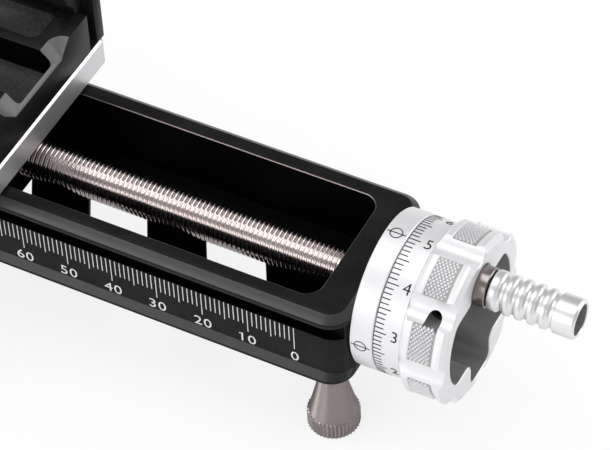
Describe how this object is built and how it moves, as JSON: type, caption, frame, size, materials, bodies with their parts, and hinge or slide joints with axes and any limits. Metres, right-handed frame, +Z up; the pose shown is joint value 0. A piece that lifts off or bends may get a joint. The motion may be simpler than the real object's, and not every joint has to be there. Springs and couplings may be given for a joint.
{
  "type": "macro focusing rail",
  "caption": "Macro focusing rail with a lead screw turned by a numbered dial knob with a folding crank, a sliding carriage with a dovetail camera clamp, and screw-in feet.",
  "frame": {"origin": "mouth of the middle tripod thread, in the middle of the rail's underside", "axes": "+X along the rail towards the crank knob, +Y towards the side without the scale, +Z up"},
  "size_m": [0.2402, 0.0622, 0.0568],
  "materials": {
    "black_anodised": "fine blasted, black anodised",
    "silver_anodised": "fine blasted, clear anodised",
    "black_steel": "blackened",
    "bright_steel": "rolled and polished",
    "bearing_steel": "ground",
    "foot_steel": "turned stainless",
    "dark_bronze": "dark bronze, brushed",
    "brass": "machined",
    "bearing_plastic": "natural acetal"
  },
  "bodies": {
    "rail": {"rail_body": "black_anodised", "index_collar": "silver_anodised", "collar_screws": "black_steel", "bearing_outer_rings": "bearing_steel", "rear_cap": "black_anodised", "feet": "foot_steel"},
    "drive": {"lead_screw": "bright_steel", "bearing_inner_rings": "bearing_steel", "bearing_balls": "bearing_steel", "bearing_spacer": "bright_steel", "dial_ring": "silver_anodised", "knob_body": "silver_anodised", "knob_screw": "black_steel", "detent_plunger": "bright_steel", "crank_pin": "bright_steel", "pin_screw": "black_steel"},
    "crank": {"crank_knuckle": "dark_bronze", "grip_stud": "bright_steel", "grip_washer": "bearing_plastic"},
    "grip": {"crank_grip": "silver_anodised"},
    "carriage": {"carriage_plate": "silver_anodised", "nut_block": "black_anodised", "drive_nut": "brass", "backlash_nut": "brass", "nut_screws": "black_steel", "keeper_front": "black_anodised", "keeper_back": "black_anodised", "keeper_screws": "black_steel", "slide_liners": "bearing_plastic", "clamp_base": "black_anodised", "clamp_base_screws": "black_steel", "fixed_jaw": "black_anodised", "jaw_screws": "black_steel"},
    "clamp_jaw": {"moving_jaw": "black_anodised", "jaw_guide_pins": "bright_steel"},
    "clamp_screw": {"clamp_stud": "bright_steel", "clamp_knob": "silver_anodised", "clamp_washer": "bright_steel"}
  },
  "joints": [
    {"name": "drive_turn", "type": "hinge", "parent": "rail", "child": "drive", "pos_m": [0.1, 0, 0.0112], "axis": [-1, 0, 0], "range_deg": [-21961, 25561]},
    {"name": "carriage_slide", "type": "slide", "parent": "rail", "child": "carriage", "axis": [1, 0, 0], "range_m": [-0.061, 0.071]},
    {"name": "crank_fold", "type": "hinge", "parent": "drive", "child": "crank", "pos_m": [0.1158, 0, 0.0211], "axis": [0, 1, 0], "range_deg": [0, 90]},
    {"name": "grip_spin", "type": "hinge", "parent": "crank", "child": "grip", "pos_m": [0.1224, 0, 0.0211], "axis": [1, 0, 0], "continuous": true},
    {"name": "clamp_knob_turn", "type": "hinge", "parent": "clamp_jaw", "child": "clamp_screw", "pos_m": [-0.005, -0.025, 0.03045], "axis": [0, -1, 0], "range_deg": [0, 1801]},
    {"name": "clamp_jaw_slide", "type": "slide", "parent": "carriage", "child": "clamp_jaw", "axis": [0, -1, 0], "range_m": [0, 0.005]}
  ],
  "couplings": [
    {"joint": "drive_turn", "follows": "carriage_slide", "rad_per_m": 6283.2},
    {"joint": "clamp_knob_turn", "follows": "clamp_jaw_slide", "rad_per_m": 6283.2}
  ]
}
